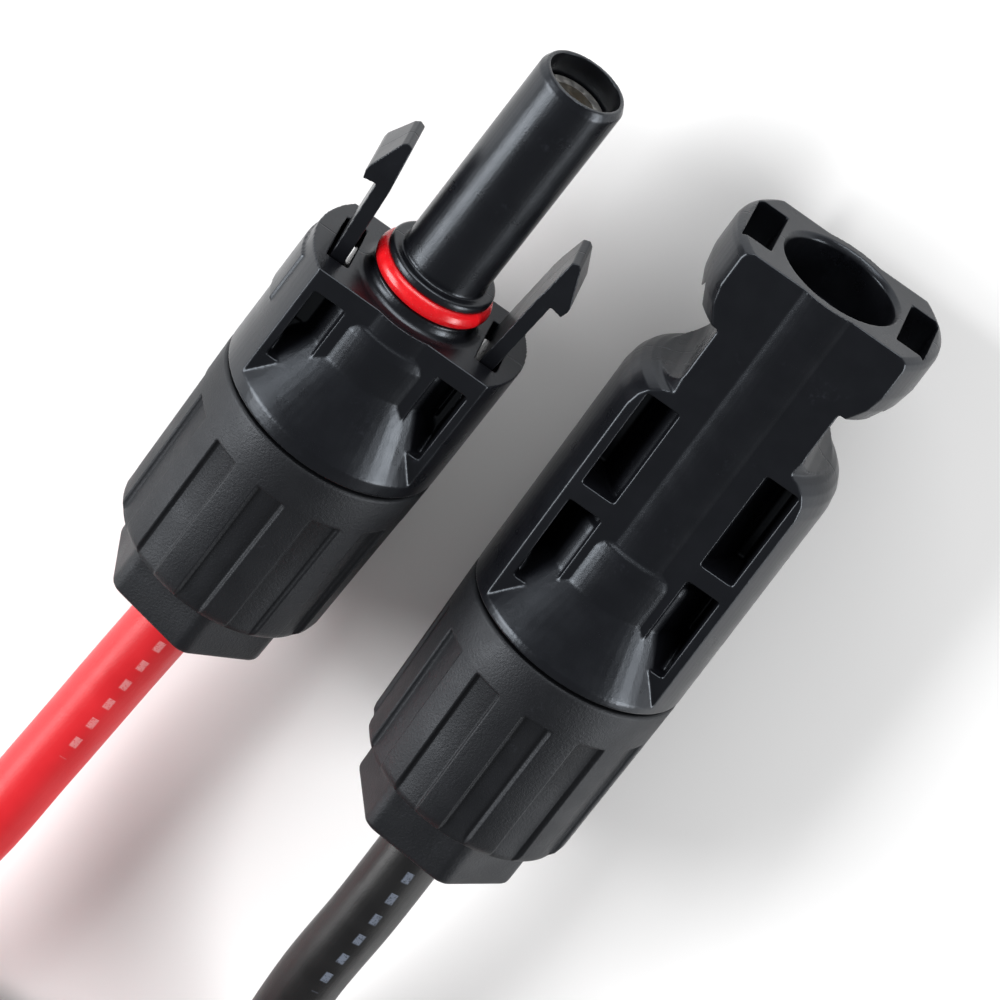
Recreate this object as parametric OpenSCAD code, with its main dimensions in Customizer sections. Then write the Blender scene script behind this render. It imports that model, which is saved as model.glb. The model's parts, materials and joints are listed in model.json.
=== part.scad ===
// Photovoltaic cable connector pair, 4 mm contact system.
// A pin half and a socket half lie side by side with their leads.
// Lengths are in millimetres. In each half, the local z axis is the connector axis:
// z = 0 is the shell's front face and z grows towards the cable. Local x is up.

/* [Shell] */
// Largest diameter of the housings and of the gland nuts
body_d = 19; // [18:0.1:20]
// Thickness of the housings between their two flats
flats = 11.2; // [10.8:0.1:11.6]
// Diameter of the round core that bulges through the flats
core_d = 12; // [11.8:0.1:12.2]
// Diameter of the collar in front of the cone
collar_d = 13; // [12.6:0.1:13.4]
// Length of the pin half's housing in front of its gland nut
pin_body_l = 36.7; // [36.4:0.1:37.5]
// Length of the socket half's housing in front of its gland nut
socket_body_l = 12.5; // [12.4:0.1:13]

/* [Mating parts] */
// Diameter of the pin contact and of the socket contact's bore
contact_d = 4; // [4]
// Outer diameter of the socket half's nose tube
nose_d = 7.3; // [7.2:0.05:7.4]
// Length of the nose in front of the shell
nose_l = 22.9; // [22.5:0.1:23.1]
// Diameter of the sealed stretch at the mouth of the pin half
mouth_d = 9.8; // [9.8:0.05:9.9]
// Depth of the sealed stretch
mouth_l = 4.6; // [4.2:0.1:4.8]
// Outer diameter of the sealing ring
ring_d = 10.1; // [10:0.05:10.2]
// Section diameter of the sealing ring
ring_section = 1.6; // [1.5:0.05:1.6]

/* [Latches] */
// Distance from the shell's front face to the catch of a latch
catch_reach = 7.2; // [7:0.1:7.4]
// Distance from the shell's front face to a latch's tip
latch_reach = 11.1; // [10.8:0.1:11.6]
// Width of a latch along the housing's thickness
latch_w = 5.8; // [5.4:0.1:6]

/* [Gland] */
// Length of the round part of a gland nut
nut_l = 17; // [16.6:0.1:17.4]
// Length of the hexagon behind it
hex_l = 4.7; // [4.4:0.1:5]
// Distance across the hexagon's flats
hex_flats = 13.4; // [13:0.1:13.6]
// Number of grip grooves
grooves = 12; // [10:1:14]
// Depth of a grip groove
groove_depth = 0.4; // [0.3:0.05:0.5]
// Diameter of the threaded spigot under the nut
spigot_d = 15.2; // [15:0.1:15.2]

/* [Cable] */
// Outer diameter of the cable
cable_d = 5.5; // [5.4:0.1:5.9]
// Radius of the outer turn of each lead's coil, at the middle of the cable
coil_r = 32.5; // [31:0.5:33]

/* [Hidden] */

$fn = 96;
eps = 0.01;
run_gap = 0.3;
body_r = body_d / 2;
core_r = core_d / 2;
collar_r = collar_d / 2;
spigot_r = spigot_d / 2;
spigot_l = 9;
cable_r = cable_d / 2;

// Where each half lies: its cable's exit point, then its roll, pitch and yaw in degrees
pin_exit = [-29, -13, 9.5];
pin_turn = [0, 0, 0];
socket_exit = [-25, 13, 8.9];
socket_turn = [3, -4, -2];
// Distance that the exit point lies inside the hexagon
exit_inset = 1.7;
// How each gland nut is turned
pin_nut_turn = -7;
socket_nut_turn = 3;

// Passages that both housings share
passage_r = 2.95;
cavity_r = 5.2;
conductor_r = 1.25;
insulation_r = 1.7;
layer_gap = 0.02;

pin_bore_l = 23.6;
pin_tip = 8;
socket_mouth = -nose_l + 2;

// Half thickness of the web that closes the housings' pockets in their middle plane
web = 0.5;

// Lead routes from each exit point to the start of its coil
pin_route = [[-29, -13, 9.5], [-40, -12.9, 9.2], [-50, -12.6, 8], [-60, -13.4, 5.6],
    [-70, -16.2, 3.4], [-82, -22.3, 2.8], [-95, -28.5, 2.75], [-106.5, -30.5, 2.75]];
socket_route = [[-25, 13, 8.9], [-36, 13.9, 8.2], [-47, 14.8, 7.8], [-58, 15.9, 7.9],
    [-70, 19, 8.5], [-82, 25, 9.2], [-95, 32, 9.55], [-106.5, 34.5, 9.55]];
// The socket half's coil lies on the pin half's
coil_centre = [-106.5, 2, 0];
coil_w = 2 * cable_d;
tie_wall = 1;
upper_z = cable_d + tie_wall + 0.3;
// Angle that each lead turns through in its coil
coil_turn = 410;
// Radius that the cut end of a lead lies at, inside its coil
end_r = 23;
bare_l = 7.5;

// ---- Placement ----

module at_pin_half() {
    translate(pin_exit) rotate(pin_turn) rotate([0, -90, 0])
        translate([0, 0, -(gland_end(pin_body_l) - exit_inset)]) children();
}

module at_socket_half() {
    translate(socket_exit) rotate(socket_turn) rotate([0, -90, 0])
        translate([0, 0, -(gland_end(socket_body_l) - exit_inset)]) children();
}

function gland_end(seam) = seam + run_gap + nut_l + hex_l;

// ---- Shared outlines ----

// Round section cut by the two flats
module shell_section() {
    intersection() {
        circle(body_r);
        square([flats, 2 * body_d], center = true);
    }
}

// Solid of revolution about the axis, from [radius, z] points
module turned(points) {
    rotate_extrude() polygon(points);
}

// Plate whose outline is given as [z, y] points, with its thickness along x
module side_plate(thickness) {
    rotate([0, -90, 0]) linear_extrude(thickness, center = true) children();
}

// Shell with pockets sunk in both flats, each side of the round core
module pocketed_shell(length, pockets, inner_y, outer_y) {
    difference() {
        linear_extrude(length) shell_section();
        for (side = [-1, 1]) for (face = [-1, 1]) for (p = pockets)
            translate([face > 0 ? web : -web - body_r, side > 0 ? inner_y : -outer_y, p[0]])
                cube([body_r, outer_y - inner_y, p[1] - p[0]]);
    }
}

// Stepped passage behind the contact, and the chamber for the cable seal
module rear_passages(contact_z, seam) {
    translate([0, 0, contact_z]) cylinder(r = passage_r, h = seam - contact_z + 1);
    translate([0, 0, seam + 0.8]) cylinder(r = cavity_r, h = spigot_l);
}

// ---- Pin half ----

module pin_housing() {
    catch_z = 6.8;
    neck_y = 5.5;
    color("#1d1e22") at_pin_half() difference() {
        union() {
            pocketed_shell(pin_body_l, [[14.3, 23.6], [25.3, 33.4]], 4, 6.9);
            turned([[0, 0], [core_r, 0], [core_r, 26.1], [core_r + 0.35, 26.5],
                [collar_r, 27.1], [collar_r, 30.9], [body_r, 36], [body_r, pin_body_l],
                [spigot_r, pin_body_l], [spigot_r, pin_body_l + spigot_l],
                [0, pin_body_l + spigot_l]]);
        }
        // Mating bore, stepped down to the nose tube's size
        translate([0, 0, -1]) cylinder(d = mouth_d, h = mouth_l + 1);
        translate([0, 0, -eps]) cylinder(r1 = mouth_d / 2 + 0.3, r2 = mouth_d / 2, h = 0.4);
        cylinder(d = nose_d + 2 * 0.15, h = pin_bore_l);
        cylinder(r = contact_d / 2 + 0.1, h = pin_bore_l + 2);
        rear_passages(pin_bore_l + 1, pin_body_l);
        // Side notches that the latches catch in, each with a hollow at its rear
        for (side = [-1, 1]) side_plate(body_d) polygon([for (p = [[catch_z, neck_y],
            [11.3, neck_y], [11.9, neck_y + 0.15], [12.5, neck_y + 0.7], [12.9, neck_y + 1.5],
            [13.1, neck_y + 2.2], [13.3, body_r + 1], [catch_z, body_r + 1]]) [p[0], side * p[1]]]);
        // Rounded catch block in front of the notches, and domed shoulders behind them
        turned([[body_r + 1, -1], [8.6, -1], [8.6, 0], [9.05, 0.3], [9.2, 0.8], [9.2, 3.6],
            [8.9, 5.2], [8.2, catch_z], [7.7, 13.1], [8.3, 13.4], [8.9, 14], [9.3, 14.8],
            [body_r, 16], [body_r + 1, 16]]);
        // Slots that let the latches in through the front face
        for (side = [-1, 1])
            translate([-3.4, side > 0 ? 5.7 : -8.2, -1]) cube([6.8, 2.5, 9]);
    }
}

// Solid contact: mating pin or socket body in front, a waist for its clip, a crimp barrel behind
module contact_body(front, seat, barrel_end) {
    difference() {
        turned([[0, front], [contact_d / 2, front], [contact_d / 2, seat], [2.8, seat],
            [2.8, seat + 1.1], [2.3, seat + 1.1], [2.3, seat + 4.2], [2.8, seat + 4.2],
            [2.8, seat + 5.2], [2.3, seat + 5.2], [2.3, barrel_end], [0, barrel_end]]);
        translate([0, 0, barrel_end - 6.5]) cylinder(r = conductor_r + 0.1, h = 7);
    }
}

// Sprung sleeve round the contact's waist, split along one side
module contact_clip(seat) {
    difference() {
        turned([[2.35, seat + 1.3], [2.6, seat + 1.3], [2.85, seat + 3.8], [2.85, seat + 4],
            [2.35, seat + 4]]);
        translate([0, -0.4, seat]) cube([4, 0.8, 6]);
    }
}

pin_seat = pin_bore_l + 1.1;
pin_barrel_end = 38;

module pin_contact() {
    color("#c9cbcc") at_pin_half() difference() {
        contact_body(pin_tip, pin_seat, pin_barrel_end);
        // Blunt cone at the tip
        translate([0, 0, pin_tip - eps]) difference() {
            cylinder(r = 3, h = 1.2);
            cylinder(r1 = 1.2, r2 = contact_d / 2, h = 1.2);
        }
    }
}

module pin_contact_clip() {
    color("#b9b6a8") at_pin_half() contact_clip(pin_seat);
}

// Ribbed rubber sleeve that seals on the cable
module cable_seal(seam) {
    front = seam + 1.1;
    pitch = 1.9;
    color("#3a3a3c") turned(concat(
        [[cable_r + 0.05, front], [cavity_r - 0.35, front]],
        [for (i = [0:3]) for (p = [[-0.35, 0.3], [-0.05, 0.6], [-0.05, 1.2], [-0.35, 1.5]])
            [cavity_r + p[0], front + i * pitch + p[1]]],
        [[cavity_r - 0.35, front + 7.6], [cable_r + 0.05, front + 7.6]]));
}

module pin_cable_seal() {
    at_pin_half() cable_seal(pin_body_l);
}

// Ring of fingers that the nut's cone presses on the cable
module clamp_cage(seam) {
    front = seam + spigot_l + 0.3;
    fingers = 8;
    color("#2a2b2e") difference() {
        turned([[cable_r + 0.25, front], [6.9, front], [6.9, front + 1.4], [6.5, front + 1.4],
            [4, front + 6.6], [cable_r + 0.25, front + 6.6]]);
        for (i = [0:fingers - 1]) rotate([0, 0, i * 360 / fingers])
            translate([0, -0.4, front + 1.8]) cube([8, 0.8, 6]);
    }
}

module pin_clamp_cage() {
    at_pin_half() clamp_cage(pin_body_l);
}

// Gland nut: fluted barrel with rounded rear edge, short hexagon, thread bore and cone inside
module gland_nut(seam, turn) {
    front = seam + run_gap;
    rear = front + nut_l;
    rear_r = body_r - 0.3;
    edge = 1.8;
    taper = atan(0.3 / nut_l);
    cage_front = seam + spigot_l + run_gap;
    rotate([0, 0, turn]) difference() {
        union() {
            turned(concat([[0, front], [body_r - 0.25, front], [body_r, front + 0.25],
                [rear_r, rear - edge]],
                [for (a = [22.5:22.5:90]) [rear_r - edge * (1 - cos(a)), rear - edge * (1 - sin(a))]],
                [[0, rear]]));
            rotate([0, 0, -180 / grooves]) translate([0, 0, rear - eps]) intersection() {
                cylinder(r = hex_flats / sqrt(3), h = hex_l + eps, $fn = 6);
                cylinder(r1 = hex_flats / sqrt(3) - 0.1, r2 = hex_flats / sqrt(3) - 0.5, h = hex_l + eps);
            }
        }
        for (i = [0:grooves - 1]) rotate([0, 0, i * 360 / grooves])
            translate([body_r - groove_depth, 0, front + 3.8]) rotate([0, -taper, 0])
                translate([0, -1.2, 0]) cube([2, 2.4, nut_l]);
        translate([0, 0, front - 1]) cylinder(r = spigot_r + run_gap, h = spigot_l + 2.8);
        turned([[0, cage_front], [7.2, cage_front], [7.2, cage_front + 1.6],
            [cable_r + 1.25, cage_front + 7.2], [0, cage_front + 7.2]]);
        cylinder(r = cable_r + 0.35, h = rear + hex_l + 1);
    }
}

module pin_gland_nut() {
    color("#232427") at_pin_half() gland_nut(pin_body_l, pin_nut_turn);
}

// ---- Cable inside the glands ----

module conductor(seam) {
    exit_z = gland_end(seam) - exit_inset;
    color("#b4b6b8") translate([0, 0, seam - 3]) cylinder(r = conductor_r, h = exit_z - seam + 3);
}

module insulation(seam) {
    exit_z = gland_end(seam) - exit_inset;
    color("#e4e2da") turned([[conductor_r + layer_gap, seam + 2], [insulation_r, seam + 2],
        [insulation_r, exit_z], [conductor_r + layer_gap, exit_z]]);
}

module sheath(seam) {
    exit_z = gland_end(seam) - exit_inset;
    turned([[insulation_r + layer_gap, seam + 3.5], [cable_r, seam + 3.5], [cable_r, exit_z],
        [insulation_r + layer_gap, exit_z]]);
}

module pin_cable_conductor() {
    at_pin_half() conductor(pin_body_l);
}

module pin_cable_insulation() {
    at_pin_half() insulation(pin_body_l);
}

module pin_cable_sheath() {
    color("#1b1b1d") at_pin_half() sheath(pin_body_l);
}

// ---- Socket half ----

module socket_housing() {
    groove_z = -1.9;
    groove_r = ring_d / 2 - ring_section - 0.02;
    half_groove = ring_section / 2 + 0.02;
    slot_end = latch_pivot[0] + latch_root_r + 0.25;
    color("#1d1e22") at_socket_half() difference() {
        union() {
            pocketed_shell(socket_body_l, [[1.8, 8.8]], 4.2, 7);
            turned([[0, -nose_l], [nose_d / 2 - 0.3, -nose_l], [nose_d / 2, -nose_l + 0.6],
                [nose_d / 2, -3.4], [4.45, -3.4], [4.6, -3.2], [4.6, groove_z - half_groove],
                [groove_r, groove_z - half_groove], [groove_r, groove_z + half_groove],
                [4.7, groove_z + half_groove], [4.7, -0.7], [4.85, -0.35], [5.15, -0.1],
                [5.6, 0], [core_r, 0], [core_r, 1.7], [core_r + 0.3, 2], [collar_r, 2.6],
                [collar_r, 5.9], [body_r, 11.2], [body_r, socket_body_l],
                [spigot_r, socket_body_l], [spigot_r, socket_body_l + spigot_l],
                [0, socket_body_l + spigot_l]]);
            // Blocks behind the latches' roots
            for (side = [-1, 1])
                translate([-latch_w / 2, side > 0 ? 6.3 : -7.4, 3]) cube([latch_w, 1.1, 7]);
            // Low grip pad on the outer side
            intersection() {
                cylinder(r = body_r + 0.2, h = 6.2);
                translate([-3, 0, 1.4]) cube([6, body_d, 4.8]);
            }
        }
        translate([0, 0, -nose_l - 1]) cylinder(r = 3.05, h = nose_l + 1);
        cylinder(r = 2.4, h = 5);
        rear_passages(1, socket_body_l);
        // Slots that the latches stand in
        for (side = [-1, 1])
            translate([-latch_w / 2 - 0.25, side > 0 ? 5.9 : -7.75, -1])
                cube([latch_w + 0.5, 1.85, slot_end + 1]);
    }
}

latch_pivot = [2.4, 6.85];
latch_root_r = 0.55;

// Latch arm that leans outward from its round root, with a barb, a catch and a narrowed tip
module latch(side) {
    root = latch_pivot[0];
    intersection() {
        union() {
            side_plate(latch_w) polygon([for (p = [[root, 6.3], [root, 7.4], [0, 7.5],
                [-catch_reach, 8], [-catch_reach + 0.2, 9.05], [-catch_reach - 0.5, 9.25],
                [-catch_reach - 1, 9.2], [-latch_reach + 0.3, 8.15], [-latch_reach, 7.8],
                [-latch_reach + 0.2, 7.3], [-catch_reach, 6.8], [0, 6.3]]) [p[0], side * p[1]]]);
            translate([0, side * latch_pivot[1], root]) rotate([0, 90, 0])
                cylinder(r = latch_root_r, h = latch_w, center = true);
        }
        rotate(a = -120, v = [1, 1, 1]) linear_extrude(4 * body_r, center = true)
            polygon([[root + 1, -latch_w / 2], [-catch_reach - 1, -latch_w / 2],
                [-latch_reach, -latch_w / 2 + 0.9], [-latch_reach, latch_w / 2 - 0.9],
                [-catch_reach - 1, latch_w / 2], [root + 1, latch_w / 2]]);
    }
}

module outer_latch() {
    color("#1d1e22") at_socket_half() latch(1);
}

module inner_latch() {
    color("#1d1e22") at_socket_half() latch(-1);
}

module sealing_ring() {
    color("#c01018") at_socket_half() translate([0, 0, -1.9])
        rotate_extrude() translate([ring_d / 2 - ring_section / 2, 0]) circle(d = ring_section, $fn = 32);
}

socket_seat = 1.1;
socket_barrel_end = 13.8;
band_z = [socket_mouth + 2.4, socket_mouth + 10.4];
band_r = [2.2, 2.42];

module socket_contact() {
    bore_end = socket_mouth + 14.5;
    color("#c9cbcc") at_socket_half() difference() {
        union() {
            contact_body(socket_mouth + 1, socket_seat, socket_barrel_end);
            translate([0, 0, socket_mouth]) cylinder(r = 2.8, h = -socket_mouth - 0.6);
            translate([0, 0, -1]) cylinder(r = 2.3, h = 3);
        }
        translate([0, 0, socket_mouth - 1]) cylinder(d = contact_d, h = 4);
        translate([0, 0, band_z[0]]) cylinder(r = band_r[1] + 0.04, h = band_z[1] - band_z[0]);
        translate([0, 0, band_z[1] - 1]) cylinder(r = band_r[0], h = bore_end - band_z[1] + 1);
    }
}

// Thin sprung cage inside the socket contact
module socket_contact_band() {
    slits = 12;
    color("#c8a24a") at_socket_half() difference() {
        turned([[band_r[0], band_z[0] + 0.1], [band_r[1], band_z[0] + 0.1],
            [band_r[1], band_z[1] - 0.1], [band_r[0], band_z[1] - 0.1]]);
        for (i = [0:slits - 1]) rotate([0, 0, i * 360 / slits])
            translate([0, -0.12, band_z[0] + 1]) cube([4, 0.24, band_z[1] - band_z[0] - 2]);
    }
}

module socket_contact_clip() {
    color("#b9b6a8") at_socket_half() contact_clip(socket_seat);
}

module socket_cable_seal() {
    at_socket_half() cable_seal(socket_body_l);
}

module socket_clamp_cage() {
    at_socket_half() clamp_cage(socket_body_l);
}

module socket_gland_nut() {
    color("#232427") at_socket_half() gland_nut(socket_body_l, socket_nut_turn);
}

module socket_cable_conductor() {
    at_socket_half() conductor(socket_body_l);
}

module socket_cable_insulation() {
    at_socket_half() insulation(socket_body_l);
}

module socket_cable_sheath() {
    color("#a3121a") at_socket_half() sheath(socket_body_l);
}

// ---- Leads outside the glands ----

// Point at t = 0 to 1 between b and c of a smooth curve through a, b, c and d
function smooth(a, b, c, d, t) = 0.5 * (2 * b + (c - a) * t + (2 * a - 5 * b + 4 * c - d) * t * t
    + (3 * b - a - 3 * c + d) * t * t * t);

function route_points(route) = let (n = len(route) - 1) [
    for (i = [0:n - 1]) for (k = [0:1])
        smooth(route[max(i - 1, 0)], route[i], route[i + 1], route[min(i + 2, n)], k / 2),
    route[n]];

function unit(v) = v / norm(v);

// Round tube swept along points, with its rings kept upright
module swept_tube(points, radius, sides) {
    n = len(points);
    rings = [for (i = [0:n - 1])
        let (along = unit(points[min(i + 1, n - 1)] - points[max(i - 1, 0)]),
            across = unit(cross(along, [0, 0, 1])), up = cross(across, along))
        for (k = [0:sides - 1])
            points[i] + radius * (cos(k * 360 / sides) * across + sin(k * 360 / sides) * up)];
    sleeve = [for (i = [0:n - 2]) for (k = [0:sides - 1])
        let (a = i * sides + k, b = i * sides + (k + 1) % sides)
        [a, b, b + sides, a + sides]];
    caps = [[for (k = [sides - 1:-1:0]) k], [for (k = [0:sides - 1]) (n - 1) * sides + k]];
    polyhedron(rings, concat(sleeve, caps));
}

// Closed outer shape of a flat coil, two turns wide where the turns lie side by side
module coil_ring() {
    outer = coil_r + cable_r;
    rotate_extrude() polygon([[outer - coil_w, 1], [outer - coil_w + 1, 0], [outer - 1, 0],
        [outer, 1], [outer, cable_d - 1], [outer - 1, cable_d], [outer - coil_w + 1, cable_d],
        [outer - coil_w, cable_d - 1]]);
}

// Cable tie round both turns, with its small head inside the coil
module coil_tie() {
    half_w = coil_w / 2;
    translate([coil_r + cable_r - half_w, 0, 0]) {
        difference() {
            translate([-half_w - tie_wall, -1.25, 0])
                cube([coil_w + 2 * tie_wall, 2.5, cable_d + tie_wall]);
            translate([-half_w, -3, -1]) cube([coil_w, 6, cable_d + 1]);
        }
        translate([-half_w - tie_wall - 2.2, -2.25, 0.5]) cube([2.2 + eps, 4.5, 4.5]);
    }
}

module pin_lead() {
    color("#1b1b1d") swept_tube(route_points(pin_route), cable_r, 12);
}

module socket_lead() {
    color("#a3121a") swept_tube(route_points(socket_route), cable_r, 12);
}

module pin_lead_coil() {
    color("#1b1b1d") translate(coil_centre) coil_ring();
}

module socket_lead_coil() {
    color("#a3121a") translate(coil_centre + [0, 0, upper_z]) coil_ring();
}

module pin_lead_tie() {
    color("#303033") translate(coil_centre) rotate([0, 0, 230]) coil_tie();
}

module socket_lead_tie() {
    color("#303033") translate(coil_centre + [0, 0, upper_z]) rotate([0, 0, 130]) coil_tie();
}

// Stripped end of a lead: bright strands at the cut end, just inside the coil
module bare_end(low, side) {
    inward = 10;
    translate(coil_centre + [0, 0, low + cable_r]) rotate([0, 0, side * (90 + coil_turn)])
        translate([end_r, 0, 0]) rotate([0, 0, side * (90 + inward)]) rotate([0, 90, 0])
            cylinder(r = conductor_r, h = bare_l);
}

module pin_lead_bare_end() {
    color("#b4b6b8") bare_end(0, -1);
}

module socket_lead_bare_end() {
    color("#b4b6b8") bare_end(upper_z, 1);
}

pin_housing();
pin_contact();
pin_contact_clip();
pin_cable_seal();
pin_clamp_cage();
pin_gland_nut();
pin_cable_conductor();
pin_cable_insulation();
pin_cable_sheath();
pin_lead();
pin_lead_coil();
pin_lead_tie();
pin_lead_bare_end();
socket_housing();
outer_latch();
inner_latch();
sealing_ring();
socket_contact();
socket_contact_band();
socket_contact_clip();
socket_cable_seal();
socket_clamp_cage();
socket_gland_nut();
socket_cable_conductor();
socket_cable_insulation();
socket_cable_sheath();
socket_lead();
socket_lead_coil();
socket_lead_tie();
socket_lead_bare_end();
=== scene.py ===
"""Visual model of a photovoltaic cable connector pair on its two leads.

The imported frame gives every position. Lengths here are in metres. Each half has its own
coordinates: x is up, y is across the latches and z runs back along the axis from the shell's front face.
"""

import json
import math

import bpy
import bmesh
from bpy.props import FloatProperty, FloatVectorProperty, IntProperty, PointerProperty
from mathutils import Matrix, Vector


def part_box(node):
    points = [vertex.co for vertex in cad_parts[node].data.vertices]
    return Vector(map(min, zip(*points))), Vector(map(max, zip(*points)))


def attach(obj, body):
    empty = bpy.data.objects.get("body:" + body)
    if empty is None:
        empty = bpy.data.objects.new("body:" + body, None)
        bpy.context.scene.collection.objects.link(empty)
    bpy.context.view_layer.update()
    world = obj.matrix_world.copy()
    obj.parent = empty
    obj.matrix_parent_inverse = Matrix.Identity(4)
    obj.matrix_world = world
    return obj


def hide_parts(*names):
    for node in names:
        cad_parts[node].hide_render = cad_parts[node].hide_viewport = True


bl_info = {
    "name": "Cable Connector Pair",
    "version": (1, 0, 0),
    "blender": (4, 5, 0),
    "location": "View3D > Sidebar > Connector",
    "description": "Builds the finished look of a photovoltaic cable connector pair",
    "category": "Object",
}

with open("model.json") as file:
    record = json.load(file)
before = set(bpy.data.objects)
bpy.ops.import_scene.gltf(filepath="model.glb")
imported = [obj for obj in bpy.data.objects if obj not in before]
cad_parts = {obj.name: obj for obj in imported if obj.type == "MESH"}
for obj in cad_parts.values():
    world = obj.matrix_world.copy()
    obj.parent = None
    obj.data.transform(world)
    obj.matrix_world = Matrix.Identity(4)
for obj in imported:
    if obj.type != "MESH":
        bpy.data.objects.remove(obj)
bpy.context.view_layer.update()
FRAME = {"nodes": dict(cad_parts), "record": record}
RECORD = FRAME["record"]
MM = 0.001


# ---------------------------------------------------------------- frame facts

LATCH_PIVOT_DEPTH = 2.4 * MM


def joint_named(name):
    """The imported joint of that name."""
    return next(j for j in RECORD["behaviour"]["joints"] if j["name"] == name)


def mount_named(name):
    """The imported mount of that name."""
    return next(m for m in RECORD["mounts"] if m["name"] == name)


def half_matrix(front, nose, up):
    """Matrix from a half's own coordinates (up, across, back) to the row frame."""
    back = -Vector(nose).normalized()
    up = Vector(up).normalized()
    across = back.cross(up)
    turned = Matrix((up, across, back)).transposed().to_4x4()
    return Matrix.Translation(front) @ turned


def pin_half_matrix():
    """The pin half lies along the row's X axis, with its mouth at the housing's front."""
    low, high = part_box("pin_housing")
    middle = (low + high) / 2
    return half_matrix(Vector((high.x, middle.y, middle.z)), (1, 0, 0), (0, 0, 1))


def socket_half_matrix():
    """The latch pivots stand either side of the socket half's axis, a little behind its front face."""
    pivots = [Vector(joint_named(n)["pos_m"]) for n in ("outer_latch_flex", "inner_latch_flex")]
    nose = Vector(mount_named("socket_nose")["axis"]).normalized()
    up = Vector(joint_named("inner_latch_flex")["axis"])
    return half_matrix((pivots[0] + pivots[1]) / 2 + nose * LATCH_PIVOT_DEPTH, nose, up)


HALVES = {"pin": pin_half_matrix(), "socket": socket_half_matrix()}
PIN_SEAM = 36.7 * MM
SOCKET_SEAM = 12.5 * MM
SEAM_GAP = 0.3 * MM
THREAD_LEAD = 2 * MM

# Thread ridge: where it starts behind the seam, and its size
THREAD_START = 1.4 * MM
THREAD_LENGTH = 7 * MM
THREAD_RADIUS = 7.52 * MM
THREAD_RIDGE = 0.3 * MM

# Gland nut: how far each is screwed round, its grooves and its hexagon
NUT_TURNS = {"pin": -7, "socket": 3}
GROOVE_HALF_ANGLE = math.radians(7.4)
GROOVE_START = 3.8 * MM
NUT_FRONT_RADIUS = 9.5 * MM
NUT_TAPER = 0.3 / 17
HEXAGON_START = 16.99 * MM
HEXAGON_APOTHEM = 6.7 * MM
HEXAGON_CORNER = 7.5 * MM
SEGMENTS_PER_GROOVE = 48

# Moulding: finest steps, and the most triangles a piece may have
LATCH_VOXEL = 0.08 * MM
SMOOTHING = 2
SHELL_TRIANGLES = 190_000
LATCH_TRIANGLES = 60_000

# Stripped end of a lead
BARE_RADIUS = 1.25 * MM
STRAND_RADIUS = 0.17 * MM
STRAND_TWIST = math.radians(14) / MM

# View and light
CAMERA_AIM = Vector((-3.65, -2.2, 9.5)) * MM
CAMERA_DISTANCE = 0.4976
CAMERA_ANGLES = (5.56, 62.53, 150)
WORLD_STRENGTH = 0.22
FLOOR_REACH = 3.0


# ---------------------------------------------------------------- settings


class ConnectorSizes(bpy.types.PropertyGroup):
    """Sizes of the visible detail."""

    edge_voxel: FloatProperty(
        name="Edge Detail", description="Finest step of the moulded edges",
        default=0.11 * MM, min=0.08 * MM, max=0.5 * MM, precision=5, unit="LENGTH")
    nut_grooves: IntProperty(
        name="Nut Grooves", description="Number of grip grooves round a gland nut",
        default=12, min=6, max=24)
    groove_depth: FloatProperty(
        name="Groove Depth", description="Depth of a grip groove",
        default=0.4 * MM, min=0.1 * MM, max=0.8 * MM, precision=5, unit="LENGTH")
    cable_diameter: FloatProperty(
        name="Cable Diameter", description="Outer diameter of a lead",
        default=5.5 * MM, min=4 * MM, max=8 * MM, precision=5, unit="LENGTH")
    coil_radius: FloatProperty(
        name="Coil Radius", description="Radius of a coil's outer turn at the middle of the cable",
        default=32.5 * MM, min=25 * MM, max=40 * MM, precision=5, unit="LENGTH")
    strand_count: IntProperty(
        name="Strands", description="Strands in a stripped end",
        default=42, min=12, max=80)


class ConnectorColours(bpy.types.PropertyGroup):
    """Base colours of the finishes."""

    housing: FloatVectorProperty(
        name="Housing", description="Moulded housings and latches", subtype="COLOR",
        default=(0.0032, 0.0034, 0.0046), min=0, max=1)
    nut: FloatVectorProperty(
        name="Gland Nut", description="Textured gland nuts", subtype="COLOR",
        default=(0.0042, 0.0045, 0.0056), min=0, max=1)
    ring: FloatVectorProperty(
        name="Sealing Ring", description="Silicone sealing ring", subtype="COLOR",
        default=(0.55, 0.006, 0.01), min=0, max=1)
    red_sheath: FloatVectorProperty(
        name="Red Sheath", description="Sheath of the socket half's lead", subtype="COLOR",
        default=(0.56, 0.012, 0.018), min=0, max=1)
    black_sheath: FloatVectorProperty(
        name="Black Sheath", description="Sheath of the pin half's lead", subtype="COLOR",
        default=(0.005, 0.005, 0.0056), min=0, max=1)
    tin: FloatVectorProperty(
        name="Tin Plating", description="Plated contacts and strands", subtype="COLOR",
        default=(0.78, 0.77, 0.74), min=0, max=1)


def sizes():
    """The scene's size settings."""
    return bpy.context.scene.connector_sizes


def colours():
    """The scene's colour settings."""
    return bpy.context.scene.connector_colours


# ---------------------------------------------------------------- node helpers


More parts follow.
